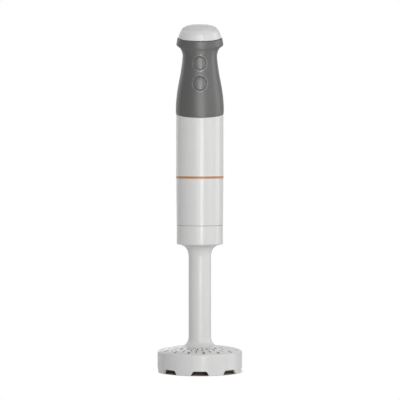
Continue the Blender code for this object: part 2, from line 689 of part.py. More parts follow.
def speed_dial():
    """The domed dial on top. It turns about the normal of its tilted seam."""
    seam = at(0, 0, DIAL_SEAM, tilt=DIAL_SEAM_TILT)
    low = 0.5 * GAP
    outside = [
        (0, 14.9), (7.0, 14.6), (12.5, 14.0), (16.0, 13.0), (18.4, 11.7), (20.4, 9.9), (21.8, 7.9),
        (23.2, 4.9), (24.3, 2.0), (DIAL_RADIUS, low),
    ]
    inside = [
        (22.8, low), (21.6, 3.8), (19.2, 7.9), (15.2, 10.6), (5.2, 11.9), (5.2, 3.0), (3.2, 3.0),
        (3.2, 10), (0, 10),
    ]
    turned("speed_dial", WHITE, outside + inside, 36, seam)
    turned("dial_spindle", STEEL, [(0, 9.7), (2.9, 9.7), (2.9, -8.6), (0, -8.6)], SMALL_STEPS, seam)
    sensor = [(3.2, -3.7), (8.5, -3.7), (8.5, -11.0), (0, -11.0), (0, -8.9), (3.2, -8.9)]
    turned("speed_potentiometer", INNER_PLASTIC, sensor, SMALL_STEPS, seam)


def inner_chassis():
    """A sleeve across the grip's joint with the body, a spine up from it, and the deck under the dial."""
    chassis = turned("inner_chassis", INNER_PLASTIC, [(24.8, 302), (24.8, 283), (23.0, 283), (23.0, 302)], 36)
    foot = block("chassis_foot", None, (38.0, 5.0, 4.0), at(0, 12.5, 286.0))
    spine = block("chassis_spine", None, (12.0, 3.0, 99.0), at(0, 13.0, 334.5))
    seam = at(0, 0, DIAL_SEAM, tilt=DIAL_SEAM_TILT)
    deck = turned("chassis_deck", None, [(3.3, -1.2), (20.5, -1.2), (20.5, -3.4), (3.3, -3.4)], 36, seam)
    join(chassis, foot, spine, deck)
    for name, (height, _) in GRIP_SCREWS.items():
        cut(chassis, rod(f"chassis_hole_{name}", None, 1.75, 5, 20, at(0, 0, height, tilt=-math.pi / 2), 10))
    return chassis


def electrical_pieces():
    """The circuit board, a switch behind each button, and the clamp on the cord."""
    block("circuit_board", BOARD, (24.0, 1.6, 54.0), at(0, -6.0, 338.0))
    for name, (height, _, _) in BUTTONS.items():
        switch = block(f"{name}_switch", CARBON, (8.0, 3.6, 8.0), at(0, -8.9, height))
        join(switch, rod(f"{name}_plunger", None, 1.6, 10.0, 11.4, facing_front(height), 12))
    clamp = block("cord_clamp", INNER_PLASTIC, (14.0, 3.4, 6.0), at(0, 16.6, 362.5))
    cut(clamp, rod("clamp_groove", None, 2.9, 10, 25, at(0, 0, 365.5, tilt=-math.pi / 2), 16))


# ---------------------------------------------------------------- the whole blender


def build():
    masher_shaft()
    masher_foot()
    foot_inserts()
    masher_paddle()
    rod("drive_shaft", STEEL, DRIVE_SHAFT_RADIUS, 8.9, 145.1)
    collar_shell()
    ring_gear()
    input_pinion()
    planet_gears()
    planet_carrier()
    gearbox_cover()
    drive_line()
    armature()
    motor_fan()
    field()
    motor_brackets()
    brushes()
    lower_housing()
    trim_ring()
    motor_housing()
    coupling_nose()
    grip()
    buttons()
    speed_dial()
    inner_chassis()
    electrical_pieces()


build()
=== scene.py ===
"""The look of the immersion blender: finer meshes for what shows, materials, soft light and a camera.

Shapes are written in millimetres and made in metres. +Z is up along the blender's axis, and its buttons
face -Y. Angles round the axis are counted from the front.
"""

import json
import math

import bmesh
import bpy
from mathutils import Matrix, Vector


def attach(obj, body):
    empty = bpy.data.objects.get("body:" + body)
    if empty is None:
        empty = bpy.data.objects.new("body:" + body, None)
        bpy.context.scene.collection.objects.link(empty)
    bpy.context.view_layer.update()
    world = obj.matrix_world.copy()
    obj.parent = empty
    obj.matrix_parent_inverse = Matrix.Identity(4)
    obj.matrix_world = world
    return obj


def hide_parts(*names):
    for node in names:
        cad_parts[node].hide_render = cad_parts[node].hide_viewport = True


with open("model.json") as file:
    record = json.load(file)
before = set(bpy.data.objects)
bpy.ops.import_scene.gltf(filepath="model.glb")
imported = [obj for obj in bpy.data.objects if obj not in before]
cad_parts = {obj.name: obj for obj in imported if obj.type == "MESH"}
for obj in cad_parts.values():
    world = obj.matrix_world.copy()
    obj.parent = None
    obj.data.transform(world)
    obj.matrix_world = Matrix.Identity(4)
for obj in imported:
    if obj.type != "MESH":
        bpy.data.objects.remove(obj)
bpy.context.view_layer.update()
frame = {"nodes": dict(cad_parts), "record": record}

MM = 0.001
GAP = 0.3  # at the two sloping seams
STEPS = 160  # faces round the body
WELD = 2e-6  # points nearer than this, in metres, become one

# The two sloping seams: height on the axis and tilt down towards the front.
GRIP_SEAM, GRIP_TILT = 296.1, math.radians(11)
DIAL_SEAM, DIAL_TILT = 382.7, math.radians(12.8)

BODY_RADIUS, BODY_INNER = 27.2, 25.2
SLEEVE_LOW = 224.15
RING_LOW, RING_TOP, RING_INNER = 221.9, 224.05, 25.4
HOUSING_LOW, HOUSING_TOP, HOUSING_INNER = 168.2, 221.8, 25.1
COLLAR_LOW, COLLAR_TOP, COLLAR_RADIUS = 146.1, 167.9, 26.6
SHAFT_RADIUS = 12.9
FOOT_RADIUS, FOOT_WALL, FOOT_STEPS = 48.65, 2.5, 256

# The grip from bottom to top: height on the axis, then its radius at the sides, the front and the back.
GRIP_LEVELS = [
    (GRIP_SEAM + 0.5 * GAP, 27.5, 27.6, 27.6),
    (304.0, 27.5, 27.6, 27.6),
    (313.0, 26.9, 27.3, 27.4),
    (322.0, 25.8, 26.7, 26.8),
    (331.0, 24.3, 25.8, 25.9),
    (340.0, 22.5, 24.9, 24.9),
    (349.0, 21.1, 24.1, 23.7),
    (357.0, 20.1, 23.6, 22.9),
    (363.0, 19.8, 23.5, 22.6),
    (367.0, 20.6, 23.7, 23.1),
    (370.5, 22.2, 24.1, 24.6),
    (372.6, 24.3, 24.5, 26.3),
    (373.8, 26.2, 24.8, 27.6),
    (375.0, 26.9, 25.0, 28.1),
    (378.0, 26.5, 25.2, 27.6),
    (DIAL_SEAM - 0.5 * GAP, 25.7, 25.3, 25.9),
]
GRIP_WALL = 2.2
GRIP_EDGE = 0.5  # radius of its edges at both seams
PARTING_GROOVE = 0.35  # depth of the groove between its halves
BUTTON_ZONE = (318.0, 364.0)  # heights between which the front half is made finer
BUTTON_ZONE_ANGLE = 0.45  # and how far to each side, in radians

# Each button's middle height, then half its width and half its height.
BUTTONS = {"turbo": (352.5, 7.2, 7.6), "speed": (329.8, 7.6, 8.3)}
BUTTON_STEPS = 72
BUTTON_CLEARANCE = 0.25
BUTTON_SUNK, BUTTON_CROWN, BUTTON_CORNER, BUTTON_TILT = 1.2, 1.6, 0.35, math.radians(1)
FLANGE_FRONT, FLANGE_BACK, FLANGE_WIDTH = -18.9, -17.5, 1.3
STEM_RADIUS, STEM_END = 2.5, -13.8
BEZEL_HEIGHT, BEZEL_SEAT, BEZEL_DEPTH = 0.28, 0.9, 2.0
BEZEL_WIDTH, BEZEL_UNEVEN = 1.75, 0.4  # at the sides, and how much wider below and narrower above

GLAND_HEIGHT = 374.5
# Each screw recess's height and how far out the grip's surface is there.
SCREW_RECESSES = [(316.0, 27.2), (346.0, 24.1)]

VENT_HALF_WIDTH, VENT_HALF_HEIGHT, VENT_CORNER = 10.0, 0.85, 0.8
VENT_PITCH, VENTS_IN_ROW = 3.4, 5
LOWER_VENTS, UPPER_VENTS = 184.0, 272.0

# Each row of slots in the foot: angle of the first, inner and outer radius, and width.
SLOTS_ROUND = 16
SLOT_ROWS = [
    (5.625, 40.6, 46.5, 3.0),
    (-5.625, 34.6, 42.2, 1.4),
    (5.625, 29.0, 36.0, 1.7),
    (-5.625, 24.5, 30.5, 2.6),
    (5.625, 21.6, 25.4, 1.4),
]
# How far a slot's cutter spreads beyond the slot at heights from the screen's upper face.
SLOT_SPREADS = [(0.8, -3.8), (0.8, -1.1), (0.0, -0.2), (0.0, 2.5)]
NOTCHES = 8
NOTCH_HEIGHT, NOTCH_HALF_BOTTOM, NOTCH_HALF_TOP = 5.0, 10.2, 7.9
PADDLE_EDGE = 0.5

FLOOR_HALF, FLOOR_DEPTH, FLOOR_TOP = 4000.0, 100.0, -0.05
FLOOR_ROUGHNESS, FLOOR_SPECULAR = 0.12, 0.5
FLOOR_COLOUR = (0.80, 0.80, 0.80)
# Painted shade: a warm dark brown on the floor under the foot, standing in for the shade in the foot's
# hollow.
PAINTED_SHADE_COLOUR = (0.53, 0.40, 0.355)
PAINTED_SHADE_FADE = (45.3, 46.8)  # distances from the axis between which the painted shade under the foot ends
WHITE_FADE = (46.5, 52.0)  # distances between which the floor turns white to the camera
SKY_LIGHT = 0.35

# Each light: angle from the front in degrees, height, distance and size in metres, and power in watts.
LIGHTS = {
    "front": (3, 0.75, 2.2, (1.6, 1.5), 19),
    "front_strip": (9, 0.75, 2.2, (0.35, 1.5), 3.5),
    "front_strip_low": (9, 0.12, 2.2, (0.35, 0.24), 2.4),
    "front_right": (51, 0.75, 2.2, (1.7, 1.5), 7.0),
    "right": (98, 0.75, 2.2, (1.2, 1.5), 11.5),
    "back_left": (-140, 0.75, 2.2, (1.0, 1.5), 4.2),
    "back_right": (145, 0.75, 2.2, (1.0, 1.5), 1.4),
    "back": (180, 0.75, 2.2, (2.0, 1.5), 5.7),
    "low_back_left": (-172, 0.35, 2.2, (0.7, 0.7), 0.9),
    "top_back": (180, 2.0, 1.2, (1.2, 1.2), 2.5),
    "top_left": (-110, 1.7, 1.5, (1.0, 1.0), 2.8),
}
LIGHTS_AIM = (0.0, 0.0, 0.2)

CAMERA_PLACE, CAMERA_AIM = (0.0002, -2.13, 0.25), (0.0002, 0.0, 0.1969)
CAMERA_VIEW, SENSOR_WIDTH = math.radians(12.3), 36.0


# ---------------------------------------------------------------- outlines


def smooth_curve(points, pieces=6):
    """A Catmull-Rom curve through points of any number of values, with so many pieces between each two."""
    ends = [points[0], *points, points[-1]]
    curve = []
    for before, start, end, after in zip(ends, ends[1:], ends[2:], ends[3:]):
        for i in range(pieces):
            t = i / pieces
            weights = (
                -0.5 * t + t * t - 0.5 * t**3, 1 - 2.5 * t * t + 1.5 * t**3,
                0.5 * t + 2 * t * t - 1.5 * t**3, -0.5 * t * t + 0.5 * t**3,
            )
            values = zip(before, start, end, after)
            curve.append(tuple(sum(w * v for w, v in zip(weights, column)) for column in values))
    return curve + [tuple(points[-1])]


def rounded(corners, pieces=5):
    """A closed outline of (x, y, radius) corners with each corner rounded. A radius of 0 leaves it sharp."""
    outline = []
    count = len(corners)
    for i, (x, y, radius) in enumerate(corners):
        if radius <= 0:
            outline.append((x, y))
            continue
        here = Vector((x, y))
        back = Vector(corners[i - 1][:2]) - here
        ahead = Vector(corners[(i + 1) % count][:2]) - here
        half = back.angle(ahead) / 2
        reach = radius / math.tan(half)
        start = here + back.normalized() * reach
        end = here + ahead.normalized() * reach
        centre = here + (back.normalized() + ahead.normalized()).normalized() * radius / math.sin(half)
        for step in range(pieces + 1):
            spoke = (start - centre).slerp(end - centre, step / pieces)
            outline.append(tuple(centre + spoke.normalized() * radius))
    return outline


def rectangle(x, y, corner=0.0, pieces=5):
    """A rectangle centred on the origin, of half sizes x and y."""
    return rounded([(-x, -y, corner), (x, -y, corner), (x, y, corner), (-x, y, corner)], pieces)


def spaced(start, end, spacing):
    """Values from start to end, evenly spaced by about the spacing."""
    count = max(1, round((end - start) / spacing))
    return [start + (end - start) * i / count for i in range(count + 1)]


def spaced_through(stops, spacings):
    """Values through several stops, with a spacing for each stretch between two of them."""
    values = [stops[0]]
    for start, end, spacing in zip(stops, stops[1:], spacings):
        values += spaced(start, end, spacing)[1:]
    return values


# ---------------------------------------------------------------- mesh making


def mesh_from(name, points, faces):
    """A mesh in metres from points in millimetres, with its faces turned outwards."""
    mesh = bpy.data.meshes.new(name)
    mesh.from_pydata([Vector(p) * MM for p in points], [], faces)
    shape = bmesh.new()
    shape.from_mesh(mesh)
    bmesh.ops.recalc_face_normals(shape, faces=shape.faces)
    shape.to_mesh(mesh)
    shape.free()
    return mesh


def band(low, low_count, high, high_count):
    """Faces between two rings, given each one's first point number and its count. A count of 1 is a tip."""
    faces = []
    count = max(low_count, high_count)
    for i in range(count):
        j = (i + 1) % count
        if low_count == 1:
            faces.append((low, high + i, high + j))
        elif high_count == 1:
            faces.append((low + i, low + j, high))
        else:
            faces.append((low + i, low + j, high + j, high + i))
    return faces


def rings_mesh(name, rings, closed=False):
    """A solid through rings of equally many points, or of one. If closed, the last ring joins the first."""
    points, faces, starts = [], [], []
    for ring in rings:
        starts.append(len(points))
        points.extend(ring)
    pairs = [(i, i + 1) for i in range(len(rings) - 1)]
    if closed:
        pairs.append((len(rings) - 1, 0))
    for low, high in pairs:
        faces.extend(band(starts[low], len(rings[low]), starts[high], len(rings[high])))
    for end in (0, len(rings) - 1):
        if len(rings[end]) > 1 and not closed:
            faces.append(tuple(range(starts[end], starts[end] + len(rings[end]))))
    return mesh_from(name, points, faces)


def turned_mesh(name, outline, steps=STEPS, closed=True, lean=None):
    """A solid turned from (radius, height) points. lean(height, y) adds a height, for a sloping end."""
    rings = []
    for radius, height in outline:
        if radius == 0:
            rings.append([(0.0, 0.0, height)])
            continue
        ring = []
        for i in range(steps):
            angle = 2 * math.pi * i / steps
            x, y = radius * math.sin(angle), -radius * math.cos(angle)
            ring.append((x, y, height + (lean(height, y) if lean else 0.0)))
        rings.append(ring)
    return rings_mesh(name, rings, closed)


def prism_mesh(name, outline, low, high):
    """A prism of an (x, y) outline between two heights."""
    return rings_mesh(name, [[(x, y, low) for x, y in outline], [(x, y, high) for x, y in outline]])


def block_mesh(name, x, y, z):
    """A block of full sizes x, y and z, centred on the origin."""
    return prism_mesh(name, rectangle(x / 2, y / 2), -z / 2, z / 2)


def at(x=0.0, z=0.0, tilt=0.0):
    """A placing matrix: tilt about X, then move, in millimetres and radians."""
    return Matrix.Translation(Vector((x, 0.0, z)) * MM) @ Matrix.Rotation(tilt, 4, "X")


def round_places(count, radius, height, first=0.0):
    """Placing matrices spaced evenly round the axis from the front, with +X outwards."""
    turns = [first - math.pi / 2 + 2 * math.pi * i / count for i in range(count)]
    return [Matrix.Rotation(t, 4, "Z") @ at(radius, height) for t in turns]


def copies(name, mesh, places):
    """One mesh of copies of a mesh at several places, which don't touch each other."""
    whole = bmesh.new()
    for place in places:
        moved = mesh.copy()
        moved.transform(place)
        whole.from_mesh(moved)
        bpy.data.meshes.remove(moved)
    made = bpy.data.meshes.new(name)
    whole.to_mesh(made)
    whole.free()
    return made


def in_scene(name, data):
    """A new object of the data, put in the scene."""
    obj = bpy.data.objects.new(name, data)
    bpy.context.scene.collection.objects.link(obj)
    return obj


def combined(mesh, operation, *others):
    """The mesh after exact Booleans with the others."""
    holder = in_scene("combined", mesh)
    helpers = []
    for other in others:
        helper = in_scene("helper", other)
        helpers.append(helper)
        step = holder.modifiers.new("Combine", "BOOLEAN")
        step.operation = operation
        step.object = helper
        step.solver = "EXACT"
    graph = bpy.context.evaluated_depsgraph_get()
    result = bpy.data.meshes.new_from_object(holder.evaluated_get(graph))
    for obj in [holder, *helpers]:
        bpy.data.objects.remove(obj)
    return result


def soften(mesh, sharp_over=math.radians(38)):
    """Smooth shading, with edges that turn more than the limit left sharp."""
    shape = bmesh.new()
    shape.from_mesh(mesh)
    bmesh.ops.remove_doubles(shape, verts=shape.verts, dist=WELD)
    for face in shape.faces:
        face.smooth = True
    for edge in shape.edges:
        edge.smooth = len(edge.link_faces) == 2 and edge.calc_face_angle(0.0) < sharp_over
    shape.to_mesh(mesh)
    shape.free()


def piece(name, mesh, material, slot, body, *nodes):
    """A finished piece that rides on a body and stands for the CAD nodes named."""
    soften(mesh)
    obj = in_scene(name, mesh)
    mesh.materials.clear()
    mesh.materials.append(material)
    normals = obj.modifiers.new("Even normals", "WEIGHTED_NORMAL")
    normals.keep_sharp = True
    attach(obj, body)
    if nodes:
        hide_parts(*nodes)


# ---------------------------------------------------------------- materials


MIX_FIRST, MIX_SECOND, MIX_COLOUR = 6, 7, 2  # numbers of the mix node's sockets for colours
DRIFT_SCALE, DRIFT_DETAIL, GRAIN_DETAIL = 22.0, 3.0, 2.0
GLOSS_SPREAD, COAT_ROUGHNESS = 0.05, 0.25


def link(tree, source, output, target, socket):
    """Join a source's output to a target's socket, each by name or number."""
    tree.links.new(source.outputs[output], target.inputs[socket])


def colour_between(tree, source, output, first, second):
    """A node that gives a colour between two, by a share from 0 to 1."""
    colour = tree.nodes.new("ShaderNodeMix")
    colour.data_type = "RGBA"
    colour.inputs[MIX_FIRST].default_value = (*first, 1.0)
    colour.inputs[MIX_SECOND].default_value = (*second, 1.0)
    link(tree, source, output, colour, 0)
    return colour


def noise(tree, source, output, scale, detail):
    """A noise texture at a place that the source gives."""
    made = tree.nodes.new("ShaderNodeTexNoise")
    made.inputs["Scale"].default_value = scale
    made.inputs["Detail"].default_value = detail
    link(tree, source, output, made, "Vector")
    return made


def surface(
    name, dark, light, roughness, grain_mm, grain_height_mm,
    specular=0.5, coat=0.0, metallic=0.0, streak=(1, 1, 1),
):
    """A material whose colour drifts slowly between two, with a fine grain in its gloss and its bumps.

    streak stretches the grain.
    """
    made = bpy.data.materials.new(name)
    made.use_nodes = True
    tree = made.node_tree
    shader = tree.nodes["Principled BSDF"]
    shader.inputs["Specular IOR Level"].default_value = specular
    shader.inputs["Metallic"].default_value = metallic
    shader.inputs["Coat Weight"].default_value = coat
    shader.inputs["Coat Roughness"].default_value = COAT_ROUGHNESS

    place = tree.nodes.new("ShaderNodeTexCoord")
    drift = noise(tree, place, "Object", DRIFT_SCALE, DRIFT_DETAIL)
    colour = colour_between(tree, drift, "Fac", dark, light)
    link(tree, colour, MIX_COLOUR, shader, "Base Color")

    stretch = tree.nodes.new("ShaderNodeMapping")
    stretch.inputs["Scale"].default_value = streak
    link(tree, place, "Object", stretch, "Vector")
    grain = noise(tree, stretch, "Vector", 1.0 / (grain_mm * MM), GRAIN_DETAIL)

    gloss = tree.nodes.new("ShaderNodeMapRange")
    gloss.inputs["To Min"].default_value = roughness - GLOSS_SPREAD
    gloss.inputs["To Max"].default_value = roughness + GLOSS_SPREAD
    link(tree, grain, "Fac", gloss, "Value")
    link(tree, gloss, "Result", shader, "Roughness")

    bump = tree.nodes.new("ShaderNodeBump")
    bump.inputs["Strength"].default_value = 1.0
    bump.inputs["Distance"].default_value = grain_height_mm * MM
    link(tree, grain, "Fac", bump, "Height")
    link(tree, bump, "Normal", shader, "Normal")
    return made


WHITE = surface("white_plastic", (0.67, 0.67, 0.665), (0.69, 0.69, 0.685), 0.24, 0.5, 0.003)
GREY = surface(
    "grey_soft_touch", (0.091, 0.091, 0.089), (0.102, 0.102, 0.100), 0.42, 0.35, 0.008, specular=0.85,
)
BUTTON_GREY = surface(
    "grey_button", (0.128, 0.128, 0.126), (0.142, 0.142, 0.140), 0.33, 0.35, 0.003, specular=0.8,
)
BEZEL_GREY = surface(
    "grey_bezel", (0.135, 0.135, 0.133), (0.150, 0.150, 0.148), 0.22, 0.35, 0.003, specular=0.9,
)
ORANGE = surface("orange_trim", (0.58, 0.214, 0.017), (0.62, 0.230, 0.021), 0.35, 0.6, 0.003)
PADDLE_GREY = surface("paddle_plastic", (0.046, 0.034, 0.030), (0.058, 0.044, 0.039), 0.5, 0.4, 0.01)
NYLON = surface("gear_nylon", (0.68, 0.66, 0.57), (0.74, 0.72, 0.64), 0.5, 0.5, 0.006)
BLACK = surface("inner_plastic", (0.055, 0.055, 0.058), (0.075, 0.075, 0.078), 0.5, 0.3, 0.012)
STEEL = surface(
    "ground_steel", (0.50, 0.50, 0.51), (0.62, 0.62, 0.63), 0.28, 0.15, 0.002,
    metallic=1.0, streak=(1, 1, 0.08),
)
LAMINATION = surface(
    "stacked_laminations", (0.28, 0.29, 0.31), (0.40, 0.41, 0.43), 0.45, 0.5, 0.02,
    metallic=1.0, streak=(0.1, 0.1, 1),
)
COPPER = surface(
    "enamelled_copper", (0.55, 0.20, 0.08), (0.75, 0.34, 0.16), 0.3, 0.6, 0.05,
    metallic=1.0, streak=(0.1, 1, 0.1),
)
CARBON = surface("carbon_black", (0.022, 0.022, 0.024), (0.038, 0.038, 0.04), 0.6, 0.2, 0.01)
RUBBER = surface(
    "black_rubber", (0.020, 0.020, 0.020), (0.032, 0.032, 0.032), 0.7, 0.25, 0.012, specular=0.35,
)
BRONZE = surface(
    "sintered_bronze", (0.42, 0.27, 0.12), (0.58, 0.40, 0.20), 0.42, 0.2, 0.008, metallic=1.0,
)
BOARD = surface("board_green", (0.018, 0.12, 0.045), (0.028, 0.17, 0.065), 0.35, 0.8, 0.006, coat=0.4)

SLOT_MATERIALS = {
    "white_plastic": WHITE, "grey_soft_touch": GREY, "orange_trim": ORANGE, "paddle_plastic": PADDLE_GREY,
    "gear_nylon": NYLON, "inner_plastic": BLACK, "steel": STEEL, "lamination": LAMINATION, "copper": COPPER,
    "carbon": CARBON, "rubber": RUBBER, "bronze": BRONZE, "board": BOARD,
}


# ---------------------------------------------------------------- the masher attachment


def masher_shaft():
    """The tube with a smooth flare at each end, and the lugs that lock it in the collar."""
    top = smooth_curve([
        (22.9, 145.8), (20.8, 145.0), (18.2, 143.8), (15.9, 141.7), (14.4, 139.2), (13.4, 136.2),
        (SHAFT_RADIUS, 132.5),
    ])
    bottom = smooth_curve([
        (SHAFT_RADIUS, 40.0), (13.2, 37.6), (13.9, 35.2), (15.0, 33.0), (16.9, 31.0), (20.2, 29.15),
    ])
    outer = [(22.9, 149.2), *top, *bottom]
    inner = [
        (20.2, 26.7), (13.0, 26.7), (9.0, 25.2), (9.0, 14.0), (4.7, 14.0), (4.7, 30.0), (11.2, 37.0),
        (11.2, 134.0), (13.3, 139.5), (17.3, 143.6), (20.6, 146.4), (20.6, 149.2),
    ]
    tube = turned_mesh("masher_shaft", outer + inner)
    lug_places = round_places(3, 22.8, 148.55, math.radians(90))
    lugs = copies("lugs", block_mesh("lug", 2.4, 9.0, 1.3), lug_places)
    tube = combined(tube, "UNION", lugs)
    piece("fine_masher_shaft", tube, WHITE, "white_plastic", "masher", "masher_shaft")


def screen_height(outline, radius):
    """Height of the screen's upper face at a radius."""
    for (r1, z1), (r2, z2) in zip(outline, outline[1:]):
        if r1 <= radius <= r2:
            return z1 + (z2 - z1) * (radius - r1) / (r2 - r1)
    return outline[-1][1]


def slot_cutter(length, width):
    """A slot with round corners, narrowest at the screen's upper face and wider below it."""
    rings = []
    for spread, height in SLOT_SPREADS:
        outline = rectangle(length / 2 + spread, width / 2 + spread, 0.3 * width + spread, 3)
        rings.append([(x, y, height) for x, y in outline])
    return rings_mesh("slot", rings)


def slot_row_cutters(top, first, low, high, width):
    """One row's cutters, each sloping with the screen's upper face."""
    middle = (low + high) / 2
    drop = screen_height(top, high) - screen_height(top, low)
    slope = Matrix.Rotation(-math.atan2(drop, high - low), 4, "Y")
    places = round_places(SLOTS_ROUND, middle, screen_height(top, middle), math.radians(first))
    return copies("slot_row", slot_cutter(high - low, width), [place @ slope for place in places])


def notch_cutters():
    """The notches in the wall's bottom edge, wider at the bottom. Below it the cutters are wider still."""
    half, low, edge = 16.0, -3.0, -0.01
    outline = rounded([
        (-half, low, 0), (half, low, 0), (half, edge, 0), (NOTCH_HALF_BOTTOM, edge, 1.0),
        (NOTCH_HALF_TOP, NOTCH_HEIGHT, 3.0), (-NOTCH_HALF_TOP, NOTCH_HEIGHT, 3.0),
        (-NOTCH_HALF_BOTTOM, edge, 1.0), (-half, edge, 0),
    ])
    notch = prism_mesh("notch", outline, FOOT_RADIUS - 8.0, FOOT_RADIUS + 6.0)
    upright = Matrix.Rotation(math.pi / 2, 4, "X")
    turns = [2 * math.pi * i / NOTCHES for i in range(NOTCHES)]
    return copies("notches", notch, [Matrix.Rotation(turn, 4, "Z") @ upright for turn in turns])


def masher_foot():
    """The slotted dome and its wall, with the notches in its bottom edge."""
    top = smooth_curve([
        (20.5, 29.1), (25.0, 28.45), (32.0, 27.5), (38.0, 26.55), (43.0, 25.5), (46.0, 24.6), (47.4, 23.95),
        (48.1, 23.5), (48.5, 23.0), (FOOT_RADIUS, 22.3),
    ])
    edge = [(FOOT_RADIUS, 0.6), (FOOT_RADIUS - 0.2, 0.15), (FOOT_RADIUS - 0.6, 0.0)]
    inner = FOOT_RADIUS - FOOT_WALL
    inside = [
        (inner + 0.5, 0.0), (inner, 0.5), (inner, 20.0), (45.0, 21.9), (38.0, 24.1), (28.0, 25.7),
        (20.5, 26.7),
    ]
    foot = turned_mesh("masher_foot", top + edge + inside, FOOT_STEPS)
    slots = [slot_row_cutters(top, *row) for row in SLOT_ROWS]
    foot = combined(foot, "DIFFERENCE", notch_cutters(), *slots)
    piece("fine_masher_foot", foot, WHITE, "white_plastic", "masher", "masher_foot")


def collar_shell():
    """The collar that the handle drops into, with keys inside it and entries for the shaft's lugs."""
    outline = rounded([
        (COLLAR_RADIUS, COLLAR_TOP, 0.2), (24.6, COLLAR_TOP, 0.2), (24.6, 147.6, 0), (23.3, 147.6, 0),
        (23.3, COLLAR_LOW, 0.3), (COLLAR_RADIUS, COLLAR_LOW, 1.3),
    ])
    shell = turned_mesh("collar_shell", outline)
    key_places = round_places(3, 23.7, 160.9, math.radians(180))
    keys = copies("keys", block_mesh("key", 2.6, 3.4, 3.4), key_places)
    entry_places = round_places(3, 22.5, 146.6, math.radians(120))
    entries = copies("entries", block_mesh("entry", 4.0, 10.5, 2.6), entry_places)
    shell = combined(combined(shell, "UNION", keys), "DIFFERENCE", entries)
    piece("fine_collar_shell", shell, WHITE, "white_plastic", "masher", "collar_shell")


# ---------------------------------------------------------------- the body


def vents(low):
    """A row of level slots with round ends, one above the other, in the back of the body."""
    outline = rectangle(VENT_HALF_WIDTH, VENT_HALF_HEIGHT, VENT_CORNER, 6)
    outside, inside = -40.0, -20.0
    slot = prism_mesh("vent", outline, outside, inside)
    back = Matrix.Rotation(math.pi / 2, 4, "X")
    return copies("vents", slot, [at(z=low + i * VENT_PITCH) @ back for i in range(VENTS_IN_ROW)])


def lower_housing():
    """The body below the orange ring, with a narrower mouth at the bottom."""
    outline = rounded([
        (BODY_RADIUS - 0.1, HOUSING_TOP, 0.2), (HOUSING_INNER, HOUSING_TOP, 0.2), (HOUSING_INNER, 169.6, 0),
        (23.4, 169.6, 0), (23.4, HOUSING_LOW, 0.2), (COLLAR_RADIUS + 0.1, HOUSING_LOW, 0.2),
    ])
    shell = combined(turned_mesh("lower_housing", outline), "DIFFERENCE", vents(LOWER_VENTS))
    piece("fine_lower_housing", shell, WHITE, "white_plastic", "handle", "lower_housing")


def trim_ring():
    """The orange ring, a little proud of the body."""
    edge = BODY_RADIUS + 0.1
    outline = rounded([
        (edge, RING_TOP, 0.2), (RING_INNER, RING_TOP, 0.1), (RING_INNER, RING_LOW, 0.1),
        (edge, RING_LOW, 0.2),
    ])
    piece("fine_trim_ring", turned_mesh("trim_ring", outline), ORANGE, "orange_trim", "handle", "trim_ring")


def motor_housing():
    """The body's upper sleeve, whose top slopes down to the front."""
    top = GRIP_SEAM - 0.5 * GAP
    middle = (SLEEVE_LOW + top) / 2
    outline = rounded([
        (BODY_RADIUS, top, 0.35), (BODY_INNER, top, 0.2), (BODY_INNER, SLEEVE_LOW, 0.2),
        (BODY_RADIUS, SLEEVE_LOW, 0.2),
    ])

    def lean(height, y):
        return math.tan(GRIP_TILT) * y if height > middle else 0.0

    shell = turned_mesh("motor_housing", outline, lean=lean)
    shell = combined(shell, "DIFFERENCE", vents(UPPER_VENTS))
    piece("fine_motor_housing", shell, WHITE, "white_plastic", "handle", "motor_housing")


# ---------------------------------------------------------------- the grip and its buttons


GRIP_CURVE = smooth_curve(GRIP_LEVELS, 8)


def grip_sizes(height):
    """The grip's side, front and back radius at a height on the axis."""
    for low, high in zip(GRIP_CURVE, GRIP_CURVE[1:]):
        if height <= high[0]:
            break
    share = min(max((height - low[0]) / (high[0] - low[0]), 0.0), 1.0)
    return [a + (b - a) * share for a, b in zip(low[1:], high[1:])]


def grip_lean(height):
    """Tangent of a level's tilt, which changes from one seam's to the other's."""
    rise = (height - GRIP_SEAM) / (DIAL_SEAM - GRIP_SEAM)
    return math.tan(GRIP_TILT) * (1 - rise) + math.tan(DIAL_TILT) * rise


def grip_point(height, angle, inset=0.0):
    """A point of the grip's tilted level at an angle from the front, and so far in from the surface."""
    side, front, back = grip_sizes(height)
    facing = front if math.cos(angle) > 0 else back
    share = math.sin(angle) ** 4
    radius = facing * (1 - share) + side * share - inset
    x, y = radius * math.sin(angle), -radius * math.cos(angle)
    return x, y, height + grip_lean(height) * y


def grip_front_at(x, z):
    """Y of the grip's front surface at a place seen from the front, found by closing in on it."""
    y = -25.0
    for _ in range(12):
        height = z - grip_lean(z) * y
        height = z - grip_lean(height) * y
        px, py, _ = grip_point(height, math.atan2(x, -y))
        y = -math.sqrt(max(px * px + py * py - x * x, 1.0))
    return y


def grip_section(fine):
    """The half shell's (height, inset) points: up the outside with round ends, then down the inside."""
    low, high = GRIP_LEVELS[0][0], GRIP_LEVELS[-1][0]
    start, end = low + GRIP_EDGE, high - GRIP_EDGE
    heights = spaced(start, end, 1.1)
    if fine:
        heights = spaced_through([start, *BUTTON_ZONE, end], [1.1, 0.4, 0.9])
    arc = [math.pi / 2 * i / 4 for i in range(5)]
    section = [(start - GRIP_EDGE * math.cos(a), GRIP_EDGE - GRIP_EDGE * math.sin(a)) for a in arc]
    section += [(height, 0.0) for height in heights[1:-1]]
    section += [(end + GRIP_EDGE * math.sin(a), GRIP_EDGE - GRIP_EDGE * math.cos(a)) for a in arc]
    section += [(height, GRIP_WALL) for height in spaced(low, high, 6.0)[::-1]]
    return section


